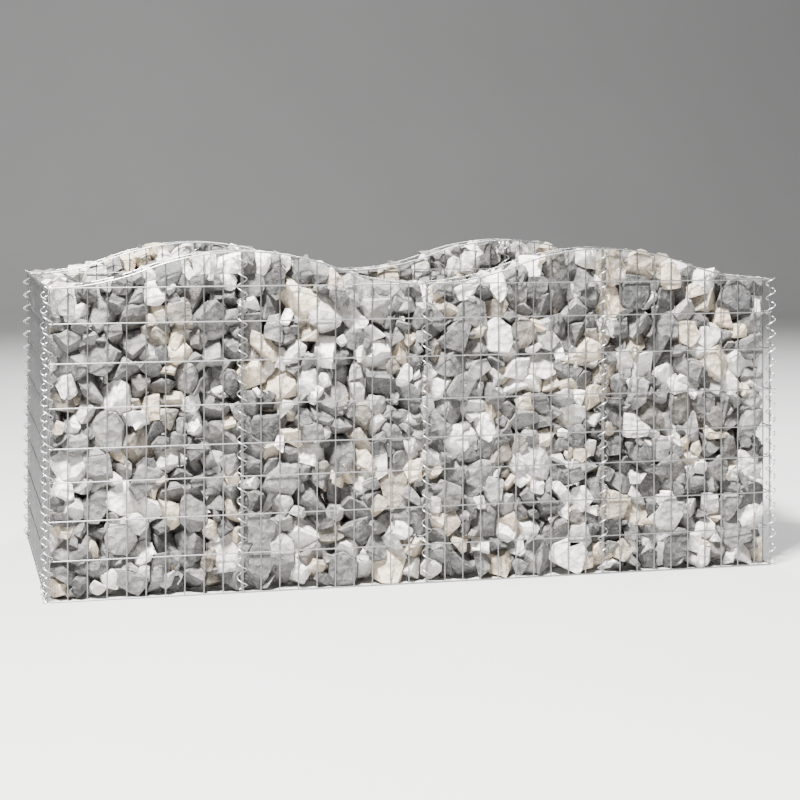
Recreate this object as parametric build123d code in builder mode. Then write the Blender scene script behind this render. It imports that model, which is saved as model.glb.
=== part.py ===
"""Arched gabion raised bed: a ring of stone held between two walls of welded wire mesh."""

import math
import os

from build123d import *

# Mesh: the cells of the welded wire, and how far each row stands off its even place
cell_width = 50.0
cell_height = 100.0
row_shifts = (0.0, 2.75, 3.25, 2.75, -11.25, -7.75, 6.25, 8.25, 0.0)

# How many cells make a panel, a side and the wall
cells_per_panel = 10
cells_per_depth = 20
cells_per_wall = 2
panels_per_side = 4

# How many cells lie between the wires that are drawn
cells_per_upright = 2
cells_per_inner_upright = 5
cells_per_inner_end_upright = 4
cells_per_inner_row = 4

# Wires of the mesh and of its bent top edge
wire = 3.5
rim_wire = 4.0
edge_clearance = 0.5

# How far a panel's top edge climbs from its low end to its high end, in straight chords
crest_rise = 90.0
chords_per_panel = 8

# Spiral binders that lace the panels together
spiral_wire = 3.4
spiral_radius = 12.0
spiral_clearance = 1.0
sides_per_turn = 4
turns_per_two_cells = 5
corner_drop = 0.9

# Which way the spirals wind at the joints, from the left end of a side as one faces it
joint_hands = (-1, -1, 1)

# Worked out from the values above
up = Vector(0, 0, 1)
cells_per_height = len(row_shifts) - 1
panel_span = cells_per_panel * cell_width
length = panels_per_side * panel_span
depth = cells_per_depth * cell_width
wall = cells_per_wall * cell_width
valley_height = cells_per_height * cell_height + wire / 2
crest_height = valley_height + crest_rise
arch_radius = ((panel_span / 2) ** 2 + (crest_rise / 2) ** 2) / crest_rise
joint_inset = (wire + edge_clearance) / 2
corner_inset = wire + edge_clearance
inner_end_inset = 2 * wire + edge_clearance
stone_thickness = wall - wire
spiral_pitch = 2 * cell_height / turns_per_two_cells
spiral_bar = spiral_wire * math.sqrt(math.pi) / 2
spiral_channel = math.sqrt(2) * (spiral_radius + spiral_wire / 2 + spiral_clearance) - wire / 2


def arch_height(distance):
    """How far the top edge has climbed at a distance from its low end, on two tangent arcs."""
    reach = min(distance, panel_span - distance)
    drop = arch_radius - math.sqrt(arch_radius**2 - reach**2)
    return drop if distance <= panel_span / 2 else crest_rise - drop


def settled(height):
    """A height on an even mesh, carried along by the rows above and below it."""
    cells = (height - wire / 2) / cell_height
    below = min(max(math.floor(cells), 0), cells_per_height - 1)
    share = min(max(cells - below, 0), 1)
    return height + row_shifts[below] * (1 - share) + row_shifts[below + 1] * share


def arch_curve():
    """The S-shaped top of one bay, from its low end to its high end."""
    lower = TangentArc(
        (0, valley_height),
        (panel_span / 2, valley_height + crest_rise / 2),
        tangent=(1, 0),
    )
    TangentArc(lower @ 1, (panel_span, crest_height), tangent=lower % 1)


def rim_strip():
    """The bent top wire of one bay, in chords of the S-shaped top."""
    places = [panel_span * number / chords_per_panel for number in range(chords_per_panel + 1)]
    under = [(place, valley_height + arch_height(place) - rim_wire / 2) for place in places]
    over = [(place, height + rim_wire) for place, height in reversed(under)]
    Polyline(*under, *over, close=True)


def mesh_panel(foot, along, outward, span, insets, steps, arched=True):
    """One welded panel: uprights, rows on their outer face, and a bent top wire if arched."""
    low_inset, high_inset = insets
    upright_step, row_step = steps
    normal = along.cross(up)
    uprights_plane = Plane(origin=foot - outward * (wire / 2), x_dir=along, z_dir=normal)
    rows_plane = Plane(origin=foot + outward * (wire / 2), x_dir=along, z_dir=normal)
    cells = round(span / cell_width)
    inner_places = [number * cell_width for number in range(upright_step, cells, upright_step)]
    row_start = low_inset - wire / 2
    row_end = span - high_inset + wire / 2
    with BuildPart() as panel:
        with BuildSketch(uprights_plane):
            for place in [low_inset, *inner_places, span - high_inset]:
                climb = arch_height(place) if arched else 0
                with Locations((place, 0)):
                    Rectangle(wire, valley_height + climb, align=(Align.CENTER, Align.MIN))
        extrude(amount=wire, dir=outward)
        with BuildSketch(rows_plane):
            if arched:
                with BuildLine():
                    rim_strip()
                make_face()
            for row in range(0, cells_per_height + 1, row_step):
                with Locations((row_start, settled(row * cell_height + wire / 2))):
                    Rectangle(span, wire, align=(Align.MIN, Align.CENTER))
            with Locations((row_start, 0)):
                Rectangle(
                    row_end - row_start,
                    crest_height + rim_wire,
                    align=(Align.MIN, Align.MIN),
                    mode=Mode.INTERSECT,
                )
        extrude(amount=wire, dir=outward)
    return panel.part


def stone_bay(foot, along, inward, low_end):
    """The stone of one bay of a long side, its corners cut back to leave room for the spirals."""
    with BuildPart() as bay:
        with BuildSketch(Plane(origin=foot, x_dir=along, z_dir=along.cross(up))):
            with BuildLine():
                Polyline((0, valley_height), (0, 0), (panel_span, 0), (panel_span, crest_height))
                arch_curve()
            make_face()
            with Locations((low_end, 0)):
                Rectangle(
                    panel_span - low_end,
                    crest_height,
                    align=(Align.MIN, Align.MIN),
                    mode=Mode.INTERSECT,
                )
        extrude(amount=stone_thickness, dir=inward)
        chamfer(bay.edges().filter_by(Axis.Z), length=spiral_channel)
    return bay.part


def stone_end(side):
    """The stone of one short side, level on top, between the two long sides."""
    with BuildPart() as end:
        with BuildSketch() as footprint:
            with Locations((side * (length - wall) / 2, 0)):
                Rectangle(stone_thickness, depth - 2 * wall - 3 * wire)
            chamfer(footprint.vertices(), length=spiral_channel)
        extrude(amount=valley_height)
    return end.part


def spiral(axis, first_side, second_side, phase, top):
    """A spiral binder wound in straight runs, with phase as its height on the first side."""
    rise = spiral_pitch / sides_per_turn
    first = math.ceil((spiral_wire - phase) / rise)
    last = math.floor((top - phase) / rise)
    points = []
    for step in range(first, last + 1):
        angle = 2 * math.pi * step / sides_per_turn
        offset = first_side * math.cos(angle) + second_side * math.sin(angle)
        points.append(axis + offset * spiral_radius + up * settled(phase + step * rise))
    with BuildPart() as binder:
        with BuildLine():
            turns = Polyline(*points)
        outwards = points[0] + points[1] - axis * 2
        outwards = Vector(outwards.X, outwards.Y, 0)
        with BuildSketch(Plane(origin=turns @ 0, x_dir=outwards, z_dir=turns % 0)):
            Rectangle(spiral_bar, spiral_bar)
        sweep(transition=Transition.RIGHT)
    return binder.part


def save(solid, name):
    """Label one piece and write it under its name."""
    solid.label = name
    export_step(solid, f"parts/{name}.step")


os.makedirs("parts", exist_ok=True)

# Long sides: outer and inner mesh with stone between them, in bays that rise and fall in turn
for side_name, side in (("front", -1), ("back", 1)):
    outward = Vector(0, side, 0)
    outer_y = side * depth / 2
    inner_y = side * (depth / 2 - wall)
    for bay in range(panels_per_side):
        climbs = bay % 2 == 0
        at_corner = bay in (0, panels_per_side - 1)
        along = Vector(1 if climbs else -1, 0, 0)
        low_x = (bay if climbs else bay + 1) * panel_span - length / 2
        outer_foot = Vector(low_x, outer_y, 0)
        inner_foot = Vector(low_x, inner_y, 0)
        stone_foot = outer_foot - outward * (wire / 2)
        insets = (corner_inset if at_corner else joint_inset, joint_inset)
        steps = (cells_per_upright, 1)
        inner_steps = (cells_per_inner_upright, cells_per_inner_row)
        outer = mesh_panel(outer_foot, along, outward, panel_span, insets, steps)
        inner = mesh_panel(inner_foot, along, -outward, panel_span, insets, inner_steps)
        stone = stone_bay(stone_foot, along, -outward, wire / 2 if at_corner else 0)
        save(outer, f"{side_name}_panel_{bay + 1}")
        save(inner, f"inner_{side_name}_panel_{bay + 1}")
        save(stone, f"{side_name}_stone_{bay + 1}")

# Short sides: level panels, the inner one standing between the inner long sides
for side_name, side in (("left", -1), ("right", 1)):
    outward = Vector(side, 0, 0)
    along = Vector(0, 1, 0)
    outer_foot = Vector(side * length / 2, -depth / 2, 0)
    inner_foot = Vector(side * (length / 2 - wall), wall - depth / 2, 0)
    insets = (corner_inset, corner_inset)
    inner_insets = (inner_end_inset, inner_end_inset)
    steps = (cells_per_upright, 1)
    inner_steps = (cells_per_inner_end_upright, cells_per_inner_row)
    inner_span = depth - 2 * wall
    outer = mesh_panel(outer_foot, along, outward, depth, insets, steps, arched=False)
    inner = mesh_panel(
        inner_foot, along, -outward, inner_span, inner_insets, inner_steps, arched=False
    )
    save(outer, f"{side_name}_end_panel")
    save(inner, f"inner_{side_name}_panel")
    save(stone_end(side), f"{side_name}_stone")

# Spirals at the four corners and at the joints along each long side
corner_phase = wire / 2 + spiral_pitch * 3 / 8 - corner_drop
joint_phase = wire / 2 + spiral_pitch / 4
low_top = valley_height + 1.5 * wire
high_top = crest_height - 2 * rim_wire
for side_name, side in (("front", -1), ("back", 1)):
    inward = Vector(0, -side, 0)
    for end_name, end in (("left", -1), ("right", 1)):
        axis = Vector(end * length / 2, side * depth / 2, 0)
        corner = spiral(axis, inward, Vector(-end, 0, 0), corner_phase, low_top)
        save(corner, f"spiral_{side_name}_{end_name}")
    for joint in range(1, panels_per_side):
        place = joint if side < 0 else panels_per_side - joint
        first_side = Vector(-side * joint_hands[place - 1], 0, 0)
        axis = Vector(joint * panel_span - length / 2, side * depth / 2, 0)
        top = high_top if joint % 2 == 1 else low_top
        binder = spiral(axis, first_side, inward, joint_phase, top)
        save(binder, f"spiral_{side_name}_joint_{joint}")
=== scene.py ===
"""Arched gabion raised bed: round wire mesh, spiral binders and a ring of single broken stones."""

import functools
import itertools
import math

import bmesh
import bpy
import numpy as np
from mathutils import Euler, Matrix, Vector, noise


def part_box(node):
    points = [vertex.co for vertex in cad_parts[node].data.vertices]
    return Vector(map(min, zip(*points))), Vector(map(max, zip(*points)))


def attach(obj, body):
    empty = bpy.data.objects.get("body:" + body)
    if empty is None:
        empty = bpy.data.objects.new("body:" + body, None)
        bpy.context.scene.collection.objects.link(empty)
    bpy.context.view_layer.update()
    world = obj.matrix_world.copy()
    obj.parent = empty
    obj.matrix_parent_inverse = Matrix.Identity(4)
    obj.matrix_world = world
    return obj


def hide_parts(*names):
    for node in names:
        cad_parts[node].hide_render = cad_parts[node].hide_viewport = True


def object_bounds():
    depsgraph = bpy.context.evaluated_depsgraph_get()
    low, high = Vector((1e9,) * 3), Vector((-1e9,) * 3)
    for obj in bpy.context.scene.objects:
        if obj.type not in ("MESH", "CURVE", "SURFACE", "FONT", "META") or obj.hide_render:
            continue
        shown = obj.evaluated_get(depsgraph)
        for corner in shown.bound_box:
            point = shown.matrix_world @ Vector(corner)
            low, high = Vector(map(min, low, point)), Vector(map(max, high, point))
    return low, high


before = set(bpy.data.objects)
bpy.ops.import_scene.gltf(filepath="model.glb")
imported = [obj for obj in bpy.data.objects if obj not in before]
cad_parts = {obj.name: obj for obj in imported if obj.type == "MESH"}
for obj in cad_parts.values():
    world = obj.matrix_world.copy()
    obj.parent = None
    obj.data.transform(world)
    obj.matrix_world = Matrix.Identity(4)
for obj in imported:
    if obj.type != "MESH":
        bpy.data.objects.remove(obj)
cad_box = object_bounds()

# Wire mesh, in metres, and how many panels make a long side
BAYS = 4
WIRE = 0.0035
RIM_WIRE = 0.004
CELL_WIDTH = 0.05
CELL_HEIGHT = 0.1
ROW_SHIFTS = (0.0, 0.00275, 0.00325, 0.00275, -0.01125, -0.00775, 0.00625, 0.00825, 0.0)
WELD_SINK = 0.0004
WIRE_SIDES = 8
WIRE_CREASE = 70
UPRIGHT_PIECES = 9
RIM_PIECES = 40

# How far a wire wanders off its line, how often, and what sets one wire's wander apart from the next
WIRE_WANDER = 0.0005
WANDER_SCALE = 9.0
WANDER_SKEW = 0.37
FIRST_ROW_KEY = 20

# Seed of the noise that makes wires wander and stones uneven
NOISE_SEED = 7

# How much paler the rows and the bent rims are painted, from 0 to 1: a painted sheen for the light from
# above that catches them
ROW_PAINTED_SHEEN = 0.15
RIM_PAINTED_SHEEN = 0.12

# Spiral binders. A phase is a spiral's height on its first side.
SPIRAL_WIRE = 0.0034
SPIRAL_RADIUS = 0.0128
SPIRAL_PITCH = 0.04
SPIRAL_STEPS = 18
SPIRAL_SIDES = 6
JOINT_PHASE = 0.0388
CORNER_PHASE = 0.0225
JOINT_HANDS = (-1, -1, 1)

# Stones: their radii, and the share of a wall that they would fill as whole balls
STONE_MEAN = 0.0245
STONE_SPREAD = 0.50
STONE_SMALLEST = 0.011
STONE_LARGEST = 0.049
STONE_FILL = 0.72
BALL_VOLUME = 4.19
VOLUME_STEPS = 50
STONE_SEEDS = {"front": 11, "back": 23, "left": 37, "right": 41}

# How stones are pushed apart, and the share of a radius that stays off the spirals, the skins and the top
SETTLE_STEPS = 140
SETTLE_PUSH = 0.42
SPIRAL_SHARE = 0.8
SKIN_SHARE = 0.9
TOP_SHARE = 0.8
LEAST_GAP = 1e-9

# How a stone is broken: its half sizes and the reach of its breaks as shares of its radius
BLOCK_SHAPE = ((1.05, 1.55), (0.85, 1.1), (0.5, 0.9))
SIDE_TILT = 0.24
SIDE_REACH = (0.85, 1.1)
BREAK_COUNT = (3, 7)
BREAK_REACH = (0.78, 1.1)

# How a stone meets its neighbours, in shares of its radius
STONE_LAP = 0.14
NEIGHBOUR_REACH = 2.2
LAP_LIMIT = 1.6
LAP_LEAST = 0.3
MOST_NEIGHBOURS = 10

# Room for the spirals, and how far a stone may heap over the top of its wall
SPIRAL_ROOM = 0.0155
CORNER_ROOM = 0.0215
CORNER_SIDE_ROOM = 0.012
POST_LEAST = 0.002
HEAP = 0.008
TOP_CLEARANCE = 0.0015

# How the corners of a solid are found between its planes
LEAST_SHARPNESS = 0.02
PLANE_SLACK = 1e-7
TOUCHING = 1e-6
FEWEST_CORNERS = 6

# Surface of a stone: its worn edges, and how uneven its faces are at two scales
STONE_WELD = 0.0016
FLAT_ANGLE = 3
STONE_WEAR = (0.0005, 0.0014)
STONE_LONGEST_EDGE = 0.030
UNEVENNESS = ((45.0, 0.0018), (160.0, 0.0007))
UNEVEN_SKEW = (1.0, 0.7, 1.3)
UNEVEN_RANGE = 50
STONE_CREASE = 32

# Tones of the stones by a number of their own: chalk white, greys, then honey
STONE_TONES = (
    (0.0, (0.90, 0.88, 0.85)),
    (0.13, (0.76, 0.74, 0.71)),
    (0.24, (0.46, 0.45, 0.435)),
    (0.32, (0.20, 0.196, 0.191)),
    (0.50, (0.122, 0.119, 0.117)),
    (0.72, (0.092, 0.091, 0.091)),
    (0.84, (0.064, 0.064, 0.066)),
    (0.86, (0.17, 0.151, 0.128)),
    (0.92, (0.60, 0.52, 0.40)),
    (1.0, (0.50, 0.42, 0.34)),
)

# Studio floor: its half width, its height, where it bends up behind, and where it ends
FLOOR_REACH = 30.0
FLOOR_LEVEL = -0.0004
FLOOR_FLAT = 9.0
FLOOR_BEND = 3.0
FLOOR_STEPS = 16
FLOOR_TOP = 14.0

# Camera
CAMERA_PLACE = (-1.290, -5.326, 1.0475)
CAMERA_TURN = 14.14
CAMERA_LENS = 83.87
CAMERA_SHIFT = -0.26

UP = Vector((0, 0, 1))


def low_corner(node):
    """The lowest corner of a CAD node."""
    return Vector(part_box(node)[0])


def high_corner(node):
    """The highest corner of a CAD node."""
    return Vector(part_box(node)[1])


# Places read from the frame
front_low = low_corner("front_panel_1")
front_high = high_corner("front_panel_1")
inner_end_low = low_corner("inner_left_panel")

HALF_LENGTH = -(high_corner("left_end_panel").x - WIRE / 2)
HALF_DEPTH = -(front_high.y - WIRE / 2)
INNER_HALF_DEPTH = -(low_corner("inner_front_panel_1").y + WIRE / 2)
INNER_HALF_LENGTH = -(inner_end_low.x + WIRE / 2)
SPAN = 2 * HALF_LENGTH / BAYS
CORNER_EDGE = front_low.x + WIRE / 2 + HALF_LENGTH
JOINT_EDGE = WIRE / 2 - front_high.x - SPAN
INNER_EDGE = inner_end_low.y + WIRE / 2 + INNER_HALF_DEPTH
ROWS = len(ROW_SHIFTS) - 1
VALLEY = ROWS * CELL_HEIGHT + WIRE / 2
RISE = front_high.z - RIM_WIRE / 2 - VALLEY
TOP_LIMIT = cad_box[1][2]
ARCH_RADIUS = ((SPAN / 2) ** 2 + (RISE / 2) ** 2) / RISE
LOW_SPIRAL_TOP = VALLEY + WIRE * 1.5

STONE_HALF_LENGTH = HALF_LENGTH - WIRE / 2
STONE_HALF_DEPTH = HALF_DEPTH - WIRE / 2
END_STONE_HALF_DEPTH = high_corner("left_stone").y
STONE_THICKNESS = high_corner("front_stone_1").y - low_corner("front_stone_1").y
INNER_LINE = STONE_THICKNESS + WIRE / 2


def climb(distance):
    """How far the arched top has risen at a distance from a low end."""
    reach = min(distance, SPAN - distance)
    drop = ARCH_RADIUS - math.sqrt(ARCH_RADIUS**2 - reach**2)
    return drop if distance <= SPAN / 2 else RISE - drop


def arch_top(x):
    """Height of the arched rim at a place along a long side."""
    along = (x + HALF_LENGTH) % (2 * SPAN)
    return VALLEY + climb(min(along, 2 * SPAN - along))


class Shape:
    """Vertices and faces gathered for one joined mesh."""

    def __init__(self):
        self.verts = []
        self.faces = []
        self.tints = []

    def add(self, verts, faces, tint):
        """One more closed lump, in its own tint."""
        start = len(self.verts)
        self.verts.extend(verts)
        self.faces.extend([tuple(start + index for index in face) for face in faces])
        self.tints.extend([tint] * len(verts))

    def tube(self, path, radius, sides, painted_sheen=0.0):
        """A round bar along a list of points, closed at both ends. Its painted sheen is how much paler it
        is painted, for light that catches it.
        """
        verts = []
        faces = []
        count = len(path)
        runs = [(path[index + 1] - path[index]).normalized() for index in range(count - 1)]
        side = runs[0].orthogonal().normalized()
        for index, point in enumerate(path):
            before = runs[max(index - 1, 0)]
            after = runs[min(index, count - 2)]
            heading = (before + after).normalized()
            side = (side - heading * side.dot(heading)).normalized()
            other = heading.cross(side)
            for step in range(sides):
                angle = 2 * math.pi * step / sides
                verts.append(point + side * (radius * math.cos(angle)) + other * (radius * math.sin(angle)))
        for ring in range(count - 1):
            for step in range(sides):
                here = ring * sides + step
                beside = ring * sides + (step + 1) % sides
                faces.append((here, beside, beside + sides, here + sides))
        faces.append(tuple(reversed(range(sides))))
        faces.append(tuple((count - 1) * sides + step for step in range(sides)))
        self.add(verts, faces, (painted_sheen, painted_sheen, painted_sheen, 1.0))

    def make(self, name, material, slot, replaced=(), crease=WIRE_CREASE):
        """The finished piece, riding on the bed."""
        mesh = bpy.data.meshes.new(name)
        mesh.from_pydata([tuple(vert) for vert in self.verts], [], self.faces)
        mesh.polygons.foreach_set("use_smooth", [True] * len(mesh.polygons))
        layer = mesh.color_attributes.new("tint", "FLOAT_COLOR", "POINT")
        layer.data.foreach_set("color", [part for tint in self.tints for part in tint])
        mesh.set_sharp_from_angle(angle=math.radians(crease))
        mesh.materials.append(material)
        piece = bpy.data.objects.new(name, mesh)
        bpy.context.scene.collection.objects.link(piece)
        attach(piece, "root")
        if replaced:
            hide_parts(*replaced)


# Materials


def grey(value):
    """A neutral colour of this brightness."""
    return (value, value, value)


class Nodes:
    """Short calls for building a node material."""

    def __init__(self, name):
        self.material = bpy.data.materials.new(name)
        self.material.use_nodes = True
        self.tree = self.material.node_tree
        self.shader = self.tree.nodes["Principled BSDF"]

    def node(self, kind, **settings):
        """One new node with its settings."""
        made = self.tree.nodes.new(kind)
        for key, value in settings.items():
            setattr(made, key, value)
        return made

    def link(self, source, target):
        """A link from one socket to another."""
        self.tree.links.new(source, target)

    def feed(self, value, socket):
        """Gives a socket a number, a colour or a link."""
        if isinstance(value, bpy.types.NodeSocket):
            self.link(value, socket)
        elif isinstance(value, tuple):
            socket.default_value = (*value, 1.0)
        else:
            socket.default_value = value

    def place(self):
        """The place on the piece, in metres."""
        return self.node("ShaderNodeTexCoord").outputs["Object"]

    def tint(self):
        """The tint of the lump, as given to its shape."""
        return self.node("ShaderNodeVertexColor", layer_name="tint").outputs["Color"]

    def axis(self, vector, name):
        """One axis of a place or a direction."""
        made = self.node("ShaderNodeSeparateXYZ")
        self.link(vector, made.inputs[0])
        return made.outputs[name]

    def moved(self, where, amount, reach):
        """A place moved by an amount, with its own reach along each axis."""
        made = self.node("ShaderNodeVectorMath", operation="MULTIPLY_ADD")
        self.link(amount, made.inputs[0])
        made.inputs[1].default_value = reach
        self.link(where, made.inputs[2])
        return made.outputs[0]

    def noise(self, where, scale, detail=4.0, roughness=0.55, distortion=0.0):
        """A cloudy pattern."""
        made = self.node("ShaderNodeTexNoise")
        made.inputs["Scale"].default_value = scale
        made.inputs["Detail"].default_value = detail
        made.inputs["Roughness"].default_value = roughness
        made.inputs["Distortion"].default_value = distortion
        self.link(where, made.inputs["Vector"])
        return made.outputs["Fac"]

    def chips(self, where, scale):
        """Shallow chipped facets."""
        made = self.node("ShaderNodeTexVoronoi", feature="F1")
        made.inputs["Scale"].default_value = scale
        self.link(where, made.inputs["Vector"])
        return made.outputs["Distance"]

    def ramp(self, value, *stops):
        """A colour read off a band of stops."""
        made = self.node("ShaderNodeValToRGB")
        elements = made.color_ramp.elements
        while len(elements) < len(stops):
            elements.new(0.5)
        for element, (place, colour) in zip(elements, stops):
            element.position = place
            element.color = (*colour, 1.0)
        self.link(value, made.inputs["Fac"])
        return made.outputs["Color"]

    def mix(self, factor, first, second, kind="MIX"):
        """Two colours mixed. The sockets are the factor and the two colours."""
        made = self.node("ShaderNodeMix", data_type="RGBA", blend_type=kind)
        for value, socket in ((factor, 0), (first, 6), (second, 7)):
            self.feed(value, made.inputs[socket])
        return made.outputs[2]

    def maths(self, operation, *values):
        """A sum on two or three values."""
        made = self.node("ShaderNodeMath", operation=operation)
        for value, socket in zip(values, made.inputs):
            self.feed(value, socket)
        return made.outputs[0]

    def bump(self, height, strength, distance, before=None):
        """Relief on the surface, over relief made before."""
        made = self.node("ShaderNodeBump")
        made.inputs["Strength"].default_value = strength
        made.inputs["Distance"].default_value = distance
        self.link(height, made.inputs["Height"])
        if before is not None:
            self.link(before, made.inputs["Normal"])
        return made.outputs["Normal"]


def stone_colour(made, where, tone, shade, warmth):
    """Stone in its own tone, with mottling, grit, pale veins and warm stains."""
    mottle = made.noise(where, 34.0, detail=5.0, roughness=0.6)
    mottle = made.ramp(mottle, (0.32, (0.46, 0.46, 0.47)), (0.62, (1.08, 1.08, 1.07)))
    mottled = made.mix(0.75, made.ramp(tone, *STONE_TONES), mottle, "MULTIPLY")
    grit = made.noise(where, 150.0, detail=6.0, roughness=0.72)
    grit = made.ramp(grit, (0.36, (0.60, 0.60, 0.61)), (0.6, grey(1.08)))
    lit = made.node("ShaderNodeHueSaturation")
    made.link(made.maths("MULTIPLY_ADD", shade, 0.5, 0.75), lit.inputs["Value"])
    made.link(made.mix(0.6, mottled, grit, "MULTIPLY"), lit.inputs["Color"])

    vein = made.noise(where, 18.0, detail=6.0, roughness=0.7, distortion=1.4)
    vein = made.ramp(vein, (0.485, grey(0.0)), (0.5, grey(1.0)), (0.515, grey(0.0)))
    veined = made.mix(made.maths("MULTIPLY", vein, 0.15), lit.outputs["Color"], (0.82, 0.80, 0.76))

    stain = made.ramp(made.noise(where, 12.0, detail=3.0), (0.5, grey(0.0)), (0.72, grey(1.0)))
    stain = made.maths("MULTIPLY", stain, made.maths("MULTIPLY", warmth, 0.6))
    return made.mix(stain, veined, (1.0, 0.84, 0.66), "MULTIPLY")


def stone_relief(made, where):
    """Chipped and grainy relief, the edges of the chips pushed about by the coarse noise."""
    coarse = made.noise(where, 60.0, detail=5.0, roughness=0.65)
    chips = made.chips(made.moved(where, coarse, (0.012, 0.014, 0.011)), 48.0)
    fine = made.noise(where, 420.0, detail=4.0, roughness=0.7)
    chipped = made.bump(chips, 1.0, 0.006)
    uneven = made.bump(coarse, 1.0, 0.005, chipped)
    return made.bump(fine, 0.7, 0.0007, uneven)


def limestone():
    """Broken limestone: each stone has its own tone, and pale dust lies on what faces up."""
    made = Nodes("limestone")
    tint = made.tint()
    split = made.node("ShaderNodeSeparateColor")
    made.link(tint, split.inputs["Color"])
    tone, shade, warmth = (split.outputs[name] for name in ("Red", "Green", "Blue"))
    where = made.moved(made.place(), tint, (7.0, 11.0, 13.0))
    stained = stone_colour(made, where, tone, shade, warmth)

    normal = made.node("ShaderNodeNewGeometry").outputs["Normal"]
    upward = made.ramp(made.axis(normal, "Z"), (0.2, grey(0.0)), (0.9, grey(1.0)))
    powder = made.noise(where, 90.0, detail=6.0, roughness=0.7)
    dust = made.maths("MULTIPLY", made.maths("MULTIPLY", upward, powder), 0.16)
    made.link(made.mix(dust, stained, (0.80, 0.79, 0.76)), made.shader.inputs["Base Color"])
    rough = made.ramp(powder, (0.3, grey(0.78)), (0.7, grey(0.96)))
    made.link(rough, made.shader.inputs["Roughness"])
    made.link(stone_relief(made, where), made.shader.inputs["Normal"])
    made.shader.inputs["Specular IOR Level"].default_value = 0.3
    return made.material


def galvanised(name, colour):
    """Zinc-coated wire: dull silver with faint blotches, painted paler on the wires with a painted sheen
    for the light that catches them.
    """
    made = Nodes(name)
    place = made.place()
    dark = tuple(part * 0.72 for part in colour)
    blotch = made.noise(place, 60.0, detail=5.0, roughness=0.6)
    zinc = made.ramp(blotch, (0.32, dark), (0.62, colour))
    # Painted sheen: the tint paints a wire paler, standing in for light that catches it
    sheened_zinc = made.mix(made.tint(), zinc, (0.90, 0.90, 0.89))
    made.link(sheened_zinc, made.shader.inputs["Base Color"])
    grain = made.noise(place, 900.0, detail=3.0)
    rough = made.ramp(grain, (0.3, grey(0.26)), (0.7, grey(0.42)))
    made.link(rough, made.shader.inputs["Roughness"])
    made.link(made.bump(grain, 0.25, 0.0003), made.shader.inputs["Normal"])
    made.shader.inputs["Metallic"].default_value = 1.0
    return made.material


def pale_floor():
    """Plain pale studio floor with painted shade: darker towards the back, where it curves up behind."""
    made = Nodes("pale_floor")
    place = made.place()
    # Painted shade: the floor darkens from 2 m to 12 m back, standing in for the light falling off
    depth = made.node("ShaderNodeMapRange", clamp=True)
    made.link(made.axis(place, "Y"), depth.inputs["Value"])
    depth.inputs["From Min"].default_value = 2.0
    depth.inputs["From Max"].default_value = 12.0
    shade = made.ramp(depth.outputs["Result"], (0.0, (0.46, 0.46, 0.457)), (1.0, (0.22, 0.22, 0.222)))
    cloud = made.ramp(made.noise(place, 0.8, detail=3.0), (0.3, grey(0.96)), (0.7, grey(1.0)))
    made.link(made.mix(1.0, shade, cloud, "MULTIPLY"), made.shader.inputs["Base Color"])
    made.shader.inputs["Roughness"].default_value = 0.9
    return made.material


# Wire mesh


def wire_path(start, end, key, pieces):
    """A nearly straight wire with a slight wander, which never drops it below its own line."""
    line = end - start
    points = []
    for index in range(pieces + 1):
        share = index / pieces
        point = start + line * share
        apart = Vector((key, key * WANDER_SKEW, 0))
        drift = noise.noise_vector(point * WANDER_SCALE + apart) * WIRE_WANDER
        drift -= line.normalized() * drift.dot(line.normalized())
        drift.z = abs(drift.z)
        points.append(point + drift)
    return points


def panel(name, foot, along, outward, span, edges, arched, material, slot, row_painted_sheen=ROW_PAINTED_SHEEN):
    """One welded panel in round wire, at the full pitch of its cells."""
    shape = Shape()
    row_shift = outward * (WIRE - WELD_SINK)
    low_edge, high_edge = edges
    cells = round(span / CELL_WIDTH)
    places = [low_edge, *[number * CELL_WIDTH for number in range(1, cells)], span - high_edge]
    for number, place in enumerate(places):
        top = VALLEY + (climb(place) if arched else 0.0) + RIM_WIRE / 4
        start = foot + along * place
        upright = wire_path(start, start + UP * top, number, UPRIGHT_PIECES)
        shape.tube(upright, WIRE / 2, WIRE_SIDES)
    row_start = low_edge - WIRE / 2
    row_length = span - low_edge - high_edge + WIRE
    left = foot + along * row_start + row_shift
    right = left + along * row_length
    # The rows and the bent rim get a painted sheen: paler zinc for the light from above that catches them
    for row in range(ROWS + 1):
        level = UP * (row * CELL_HEIGHT + WIRE / 2 + ROW_SHIFTS[row])
        path = wire_path(left + level, right + level, FIRST_ROW_KEY + row, cells)
        shape.tube(path, WIRE / 2, WIRE_SIDES, row_painted_sheen)
    if arched:
        points = []
        for step in range(RIM_PIECES + 1):
            place = row_start + row_length * step / RIM_PIECES
            points.append(foot + along * place + row_shift + UP * (VALLEY + climb(place)))
        shape.tube(points, RIM_WIRE / 2, WIRE_SIDES, RIM_PAINTED_SHEEN)
    shape.make(name + "_wire", material, slot, (name,))


def long_side_panels(mesh_steel, inner_steel):
    """The arched panels of the front and the back, outer and inner."""
    for side_name, side in (("front", -1), ("back", 1)):
        outward = Vector((0, side, 0))
        for bay in range(BAYS):
            climbs = bay % 2 == 0
            along = Vector((1 if climbs else -1, 0, 0))
            low_x = (bay if climbs else bay + 1) * SPAN - HALF_LENGTH
            edges = (CORNER_EDGE if bay in (0, BAYS - 1) else JOINT_EDGE, JOINT_EDGE)
            for prefix, half, facing, steel, slot in (
                ("", HALF_DEPTH, outward, mesh_steel, "mesh"),
                ("inner_", INNER_HALF_DEPTH, -outward, inner_steel, "inner_mesh"),
            ):
                foot = Vector((low_x, side * half, 0))
                name = f"{prefix}{side_name}_panel_{bay + 1}"
                panel(name, foot, along, facing, SPAN, edges, True, steel, slot)


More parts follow.
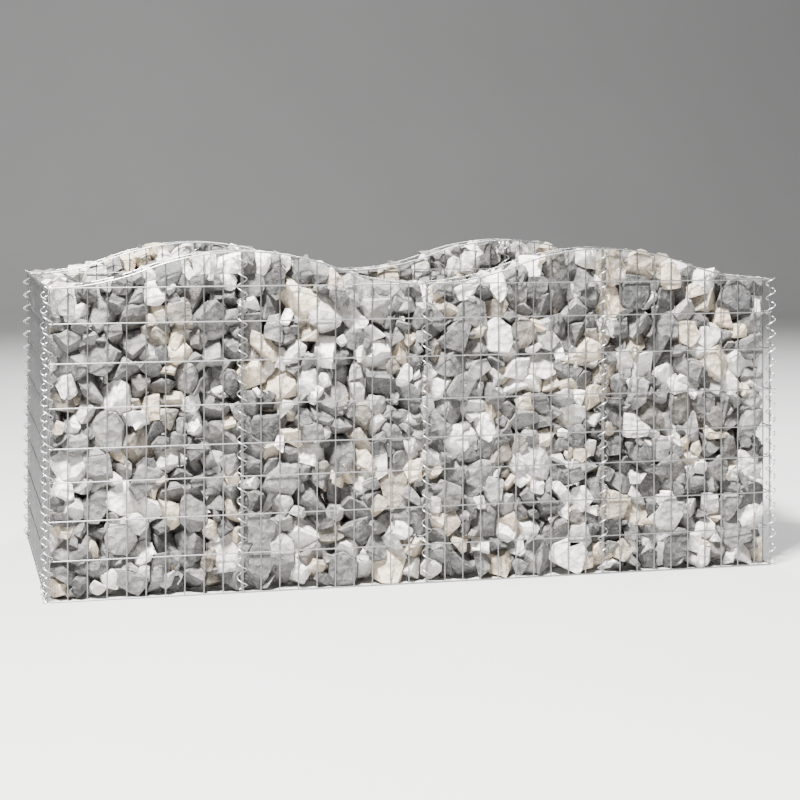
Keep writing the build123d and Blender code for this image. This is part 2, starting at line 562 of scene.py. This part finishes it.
def end_panels(shaded_end_steel, inner_steel):
    """The level panels of the two ends, the outer ones in painted shade: darker zinc, and rows without the
    painted sheen.
    """
    along = Vector((0, 1, 0))
    for side_name, side in (("left", -1), ("right", 1)):
        outward = Vector((side, 0, 0))
        name = f"{side_name}_end_panel"
        foot = Vector((side * HALF_LENGTH, -HALF_DEPTH, 0))
        edges = (CORNER_EDGE, CORNER_EDGE)
        span = 2 * HALF_DEPTH
        # Painted shade on the outer end panels: darker zinc and no painted sheen on their rows
        panel(name, foot, along, outward, span, edges, False, shaded_end_steel, "mesh", row_painted_sheen=0.0)
        name = f"inner_{side_name}_panel"
        foot = Vector((side * INNER_HALF_LENGTH, -INNER_HALF_DEPTH, 0))
        edges = (INNER_EDGE, INNER_EDGE)
        span = 2 * INNER_HALF_DEPTH
        panel(name, foot, along, -outward, span, edges, False, inner_steel, "inner_mesh")


# Spiral binders


def spiral_tube(shape, axis, first_side, second_side, phase, top):
    """A round spiral about an upright axis."""
    rise = SPIRAL_PITCH / SPIRAL_STEPS
    first = math.ceil((SPIRAL_WIRE - phase) / rise)
    last = math.floor((top - phase) / rise)
    points = []
    for step in range(first, last + 1):
        angle = 2 * math.pi * step / SPIRAL_STEPS
        offset = first_side * math.cos(angle) + second_side * math.sin(angle)
        points.append(axis + offset * SPIRAL_RADIUS + UP * (phase + step * rise))
    # The spirals take the rows' painted sheen
    shape.tube(points, SPIRAL_WIRE / 2, SPIRAL_SIDES, ROW_PAINTED_SHEEN)


def joint_top(joint):
    """Where a joint's spiral ends: under the bent wire at a crest, just over the rows at a low point."""
    if joint % 2:
        return arch_top(joint * SPAN - HALF_LENGTH) - 2 * RIM_WIRE
    return LOW_SPIRAL_TOP


def outer_spirals(steel):
    """The spirals at the corners and at the joints of the front and the back."""
    for side_name, side in (("front", -1), ("back", 1)):
        inward = Vector((0, -side, 0))
        for end_name, end in (("left", -1), ("right", 1)):
            shape = Shape()
            name = f"spiral_{side_name}_{end_name}"
            axis = Vector((end * HALF_LENGTH, side * HALF_DEPTH, 0))
            spiral_tube(shape, axis, inward, Vector((-end, 0, 0)), CORNER_PHASE, LOW_SPIRAL_TOP)
            shape.make(name + "_wire", steel, "spiral", (name,))
        for joint in range(1, BAYS):
            shape = Shape()
            name = f"spiral_{side_name}_joint_{joint}"
            hand = JOINT_HANDS[joint - 1 if side < 0 else BAYS - 1 - joint]
            axis = Vector((joint * SPAN - HALF_LENGTH, side * HALF_DEPTH, 0))
            spiral_tube(shape, axis, Vector((-side * hand, 0, 0)), inward, JOINT_PHASE, joint_top(joint))
            shape.make(name + "_wire", steel, "spiral", (name,))


def inner_spirals(steel):
    """The spirals that tie the inner mesh: at its joints, at the ends and at its own corners."""
    for side_name, side in (("front", -1), ("back", 1)):
        shape = Shape()
        outward = Vector((0, side, 0))
        line = side * INNER_HALF_DEPTH
        for joint in range(1, BAYS):
            axis = Vector((joint * SPAN - HALF_LENGTH, line, 0))
            spiral_tube(shape, axis, Vector((1, 0, 0)), outward, JOINT_PHASE, joint_top(joint))
        for end in (-1, 1):
            axis = Vector((end * HALF_LENGTH, line, 0))
            spiral_tube(shape, axis, Vector((-end, 0, 0)), outward, JOINT_PHASE, VALLEY)
            axis = Vector((end * INNER_HALF_LENGTH, line - side * INNER_EDGE / 2, 0))
            spiral_tube(shape, axis, Vector((end, 0, 0)), -outward, JOINT_PHASE, VALLEY)
        shape.make(f"inner_{side_name}_spirals", steel, "spiral")


# Stones


def stone_radii(dice, volume):
    """Radii of stones for this much wall, many small ones to a few large ones."""
    radii = []
    while sum(BALL_VOLUME * radius**3 for radius in radii) < volume * STONE_FILL:
        radius = STONE_MEAN * math.exp(dice.normal() * STONE_SPREAD)
        if STONE_SMALLEST < radius < STONE_LARGEST:
            radii.append(radius)
    return np.array(radii)


def settle(dice, size, top, radii, posts):
    """Middles for round stones of these radii, pushed apart inside a wall of the given size."""
    length, thickness = size
    middles = dice.random((len(radii), 3)) * np.array([length, thickness, 1.0])
    middles[:, 2] *= np.array([top(along) for along in middles[:, 0]])
    reach = radii[:, None] + radii[None, :]
    for _ in range(SETTLE_STEPS):
        apart = middles[:, None, :] - middles[None, :, :]
        gap = np.sqrt((apart**2).sum(axis=2)) + LEAST_GAP
        np.fill_diagonal(gap, 1.0)
        press = np.maximum(reach - gap, 0.0) / gap
        np.fill_diagonal(press, 0.0)
        middles += SETTLE_PUSH * (apart * press[:, :, None]).sum(axis=1)
        for post_x, post_y, room in posts:
            away = middles[:, :2] - np.array((post_x, post_y))
            far = np.sqrt((away**2).sum(axis=1)) + LEAST_GAP
            push = np.maximum(room + radii * SPIRAL_SHARE - far, 0.0) / far
            middles[:, :2] += away * push[:, None]
        middles[:, 0] = np.clip(middles[:, 0], radii, length - radii)
        middles[:, 1] = np.clip(middles[:, 1], radii * SKIN_SHARE, thickness - radii * SKIN_SHARE)
        ceiling = np.array([top(along) for along in middles[:, 0]]) - radii * TOP_SHARE
        middles[:, 2] = np.clip(middles[:, 2], radii, ceiling)
    return middles


@functools.cache
def triples(count):
    """Every choice of three out of this many planes."""
    return np.array(list(itertools.combinations(range(count), 3)))


def solid_points(planes):
    """The corners of the convex solid that lies behind every plane, each a normal and an offset."""
    normals = np.array([normal for normal, offset in planes])
    offsets = np.array([offset for normal, offset in planes])
    chosen = triples(len(planes))
    meeting = normals[chosen]
    sharp = np.abs(np.linalg.det(meeting)) > LEAST_SHARPNESS
    points = np.linalg.solve(meeting[sharp], offsets[chosen][sharp][:, :, None])[:, :, 0]
    inside = (points @ normals.T <= offsets + PLANE_SLACK).all(axis=1)
    return points[inside]


def facet_planes(dice, radius):
    """The broken faces of a stone: a lopsided block with more breaks across its corners."""
    turn = np.array(Euler(dice.uniform(0, math.tau, 3)).to_matrix())
    stretch = np.array([dice.uniform(*limits) for limits in BLOCK_SHAPE]) * radius
    planes = []
    for axis in range(3):
        for sign in (-1.0, 1.0):
            normal = dice.normal(size=3) * SIDE_TILT
            normal[axis] += sign
            normal /= np.linalg.norm(normal)
            planes.append((turn @ normal, stretch[axis] * dice.uniform(*SIDE_REACH)))
    for _ in range(dice.integers(*BREAK_COUNT)):
        normal = dice.normal(size=3)
        normal /= np.linalg.norm(normal)
        planes.append((turn @ normal, np.linalg.norm(normal * stretch) * dice.uniform(*BREAK_REACH)))
    return planes


def neighbour_planes(number, middles, radii):
    """The planes where one stone meets its nearest neighbours."""
    radius = radii[number]
    away = middles - middles[number]
    far = np.sqrt((away**2).sum(axis=1))
    planes = []
    for other in np.nonzero((far < NEIGHBOUR_REACH * (radii + radius)) & (far > 0))[0]:
        halfway = (far[other] ** 2 + radius**2 - radii[other] ** 2) / (2 * far[other])
        offset = halfway + STONE_LAP * radius
        if offset < LAP_LIMIT * radius:
            planes.append((away[other] / far[other], max(offset, LAP_LEAST * radius)))
    planes.sort(key=lambda plane: plane[1])
    return planes[:MOST_NEIGHBOURS]


def wall_planes(points, low, high, shift):
    """The sides of the wall that a stone still reaches once it has been shifted."""
    planes = []
    for axis in range(3):
        for sign, limit in ((-1.0, -low[axis]), (1.0, high[axis])):
            reach = limit - sign * shift[axis]
            if (points[:, axis] * sign).max() > reach - TOUCHING:
                normal = np.zeros(3)
                normal[axis] = sign
                planes.append((normal, reach))
    return planes


def post_planes(middle, radius, posts):
    """The planes that keep a stone off the spirals near it."""
    planes = []
    for post_x, post_y, room in posts:
        reach = np.array([post_x - middle[0], post_y - middle[1], 0.0])
        far = np.linalg.norm(reach)
        if far < 2 * radius + room:
            planes.append((reach / far, max(far - room, POST_LEAST)))
    return planes


def fitted_stone(planes, middle, radius, size, top, posts):
    """A stone shifted into its wall, then cut by what it still reaches: its middle and its corners."""
    points = solid_points(planes)
    if len(points) < FEWEST_CORNERS:
        return middle, []
    ceiling = min(TOP_LIMIT - TOP_CLEARANCE, top(middle[0]) + HEAP)
    low = np.zeros(3) - middle
    high = np.array([*size, ceiling]) - middle
    shift = np.maximum(low - points.min(axis=0), 0) - np.maximum(points.max(axis=0) - high, 0)
    middle = middle + shift
    cuts = wall_planes(points, low, high, shift) + post_planes(middle, radius, posts)
    if cuts:
        points = solid_points(planes + cuts)
    return middle, points


def stone_mesh(points, wear, seed):
    """Vertices and faces of one broken stone, with worn edges and slightly uneven faces."""
    shape = bmesh.new()
    for point in points:
        shape.verts.new(tuple(point))
    bmesh.ops.remove_doubles(shape, verts=shape.verts, dist=STONE_WELD)
    bmesh.ops.convex_hull(shape, input=shape.verts)
    loose = [vert for vert in shape.verts if not vert.link_faces]
    bmesh.ops.delete(shape, geom=loose, context="VERTS")
    bmesh.ops.dissolve_limit(
        shape,
        angle_limit=math.radians(FLAT_ANGLE),
        verts=shape.verts,
        edges=shape.edges,
        use_dissolve_boundaries=False,
    )
    bmesh.ops.bevel(
        shape,
        geom=list(shape.edges),
        offset=wear,
        segments=1,
        affect="EDGES",
        clamp_overlap=True,
        profile=0.5,
    )
    bmesh.ops.triangulate(shape, faces=shape.faces)
    long_edges = [edge for edge in shape.edges if edge.calc_length() > STONE_LONGEST_EDGE]
    bmesh.ops.subdivide_edges(shape, edges=long_edges, cuts=1)
    bmesh.ops.triangulate(shape, faces=shape.faces)
    shift = Vector([seed * part for part in UNEVEN_SKEW])
    for vert in shape.verts:
        for scale, height in UNEVENNESS:
            vert.co += noise.noise_vector(vert.co * scale + shift) * height
    shape.verts.index_update()
    verts = [vert.co.copy() for vert in shape.verts]
    faces = [tuple(vert.index for vert in face.verts) for face in shape.faces]
    shape.free()
    return verts, faces


def stone_tint(dice):
    """Tone, shade, warmth and a fourth number for one stone."""
    return tuple(float(part) for part in dice.random(4))


def stone_run(seed, origin, along, inward, size, top, posts, bays):
    """Fills one straight run of the ring with stones, gathered into one shape per bay."""
    dice = np.random.default_rng(seed)
    length, thickness = size
    heights = [top(length * (step + 0.5) / VOLUME_STEPS) for step in range(VOLUME_STEPS)]
    radii = stone_radii(dice, length * thickness * sum(heights) / VOLUME_STEPS)
    middles = settle(dice, size, top, radii, posts)
    mirrored = along.cross(inward).z < 0
    shapes = [Shape() for _ in range(bays)]
    for number, radius in enumerate(radii):
        planes = facet_planes(dice, radius) + neighbour_planes(number, middles, radii)
        middle, points = fitted_stone(planes, middles[number], radius, size, top, posts)
        if len(points) < FEWEST_CORNERS:
            continue
        wear = dice.uniform(*STONE_WEAR)
        verts, faces = stone_mesh(points, wear, float(dice.uniform(0, UNEVEN_RANGE)))
        placed = []
        for vert in verts:
            across = min(max(middle[1] + vert.y, 0.0), thickness)
            level = max(middle[2] + vert.z, 0.0)
            placed.append(origin + along * (middle[0] + vert.x) + inward * across + UP * level)
        if mirrored:
            faces = [tuple(reversed(face)) for face in faces]
        bay = min(int(middle[0] / length * bays), bays - 1)
        shapes[bay].add(placed, faces, stone_tint(dice))
    return shapes


def long_wall_top(distance):
    """Height of a long side's stone at a distance from its left end."""
    return arch_top(min(max(distance - STONE_HALF_LENGTH, -HALF_LENGTH), HALF_LENGTH))


def long_side_stones(material):
    """The stone of the front and the back, in bays that rise and fall with the mesh."""
    posts = []
    for number in range(BAYS + 1):
        joint = number * SPAN - HALF_LENGTH
        room = CORNER_ROOM if number in (0, BAYS) else SPIRAL_ROOM
        posts.append((joint + STONE_HALF_LENGTH, -WIRE / 2, room))
        posts.append((joint + STONE_HALF_LENGTH, INNER_LINE, SPIRAL_ROOM))
    for end in (-1, 1):
        posts.append((end * HALF_LENGTH + STONE_HALF_LENGTH, CORNER_ROOM, CORNER_SIDE_ROOM))
        tie = end * INNER_HALF_LENGTH + STONE_HALF_LENGTH
        posts.append((tie, INNER_LINE + INNER_EDGE / 2, SPIRAL_ROOM))
    for side_name, side in (("front", -1), ("back", 1)):
        run = stone_run(
            seed=STONE_SEEDS[side_name],
            origin=Vector((-STONE_HALF_LENGTH, side * STONE_HALF_DEPTH, 0)),
            along=Vector((1, 0, 0)),
            inward=Vector((0, -side, 0)),
            size=(2 * STONE_HALF_LENGTH, STONE_THICKNESS),
            top=long_wall_top,
            posts=posts,
            bays=BAYS,
        )
        for bay, shape in enumerate(run):
            node = f"{side_name}_stone_{bay + 1}"
            name = f"{side_name}_stones_{bay + 1}"
            shape.make(name, material, "stone", (node,), crease=STONE_CREASE)


def end_stones(material):
    """The stone of the two ends, level on top."""
    span = 2 * END_STONE_HALF_DEPTH
    tie = END_STONE_HALF_DEPTH - INNER_HALF_DEPTH
    posts = [
        (tie, -WIRE / 2, SPIRAL_ROOM),
        (span - tie, -WIRE / 2, SPIRAL_ROOM),
        (tie + INNER_EDGE / 2, INNER_LINE, SPIRAL_ROOM),
        (span - tie - INNER_EDGE / 2, INNER_LINE, SPIRAL_ROOM),
    ]
    for side_name, side in (("left", -1), ("right", 1)):
        run = stone_run(
            seed=STONE_SEEDS[side_name],
            origin=Vector((side * STONE_HALF_LENGTH, -END_STONE_HALF_DEPTH, 0)),
            along=Vector((0, 1, 0)),
            inward=Vector((-side, 0, 0)),
            size=(span, STONE_THICKNESS),
            top=lambda distance: VALLEY,
            posts=posts,
            bays=1,
        )
        node = f"{side_name}_stone"
        run[0].make(f"{side_name}_stones", material, "stone", (node,), crease=STONE_CREASE)


# Studio


def area_light(name, place, target, size, power, colour=(1, 1, 1)):
    """A soft square light aimed at a point."""
    data = bpy.data.lights.new(name, "AREA")
    data.size = size
    data.energy = power
    data.color = colour
    lamp = bpy.data.objects.new(name, data)
    lamp.location = place
    lamp.rotation_euler = (Vector(target) - Vector(place)).to_track_quat("-Z", "Y").to_euler()
    bpy.context.scene.collection.objects.link(lamp)


def studio_floor():
    """Plain pale floor that curves up behind."""
    profile = [(-FLOOR_REACH, FLOOR_LEVEL), (FLOOR_FLAT, FLOOR_LEVEL)]
    for step in range(1, FLOOR_STEPS + 1):
        angle = math.pi / 2 * step / FLOOR_STEPS
        back = FLOOR_FLAT + FLOOR_BEND * math.sin(angle)
        level = FLOOR_LEVEL + FLOOR_BEND * (1 - math.cos(angle))
        profile.append((back, level))
    profile.append((FLOOR_FLAT + FLOOR_BEND, FLOOR_TOP))
    verts = [(side * FLOOR_REACH, y, z) for y, z in profile for side in (-1, 1)]
    starts = range(0, 2 * len(profile) - 2, 2)
    faces = [(start, start + 1, start + 3, start + 2) for start in starts]
    floor_mesh = bpy.data.meshes.new("floor")
    floor_mesh.from_pydata(verts, [], faces)
    floor_mesh.polygons.foreach_set("use_smooth", [True] * len(faces))
    floor_mesh.materials.append(pale_floor())
    floor = bpy.data.objects.new("floor", floor_mesh)
    bpy.context.scene.collection.objects.link(floor)


def studio_light():
    """A faint cool sky, a strong light high in front and two weaker ones."""
    world = bpy.data.worlds.new("studio")
    world.use_nodes = True
    sky = world.node_tree.nodes["Background"]
    sky.inputs["Color"].default_value = (0.93, 0.95, 1.0, 1.0)
    sky.inputs["Strength"].default_value = 0.20
    bpy.context.scene.world = world
    area_light("key", (-1.9, -3.0, 6.0), (0, -0.3, 0.4), 1.0, 3950.0, (1.0, 0.985, 0.96))
    area_light("fill", (5.0, 0.6, 2.6), (0.8, 0, 0.4), 2.5, 260.0)
    area_light("back", (1.5, 5.5, 4.5), (0, 0.4, 0.4), 2.0, 700.0)


def studio_camera():
    """The camera of the main view, held level."""
    data = bpy.data.cameras.new("camera")
    data.lens = CAMERA_LENS
    data.shift_y = CAMERA_SHIFT
    camera = bpy.data.objects.new("camera", data)
    camera.location = CAMERA_PLACE
    camera.rotation_euler = (math.pi / 2, 0, -math.radians(CAMERA_TURN))
    bpy.context.scene.collection.objects.link(camera)
    bpy.context.scene.camera = camera


noise.seed_set(NOISE_SEED)

studio_floor()
studio_light()
studio_camera()

mesh_steel = galvanised("mesh_zinc", (0.29, 0.294, 0.30))
# The end panels' zinc is a darker copy of the mesh zinc: painted shade for the ends
shaded_end_steel = galvanised("shaded_end_zinc", (0.27, 0.274, 0.28))
inner_steel = galvanised("inner_zinc", (0.32, 0.324, 0.33))
spiral_steel = galvanised("spiral_zinc", (0.54, 0.545, 0.55))
stone = limestone()
long_side_panels(mesh_steel, inner_steel)
end_panels(shaded_end_steel, inner_steel)
outer_spirals(spiral_steel)
inner_spirals(spiral_steel)
long_side_stones(stone)
end_stones(stone)
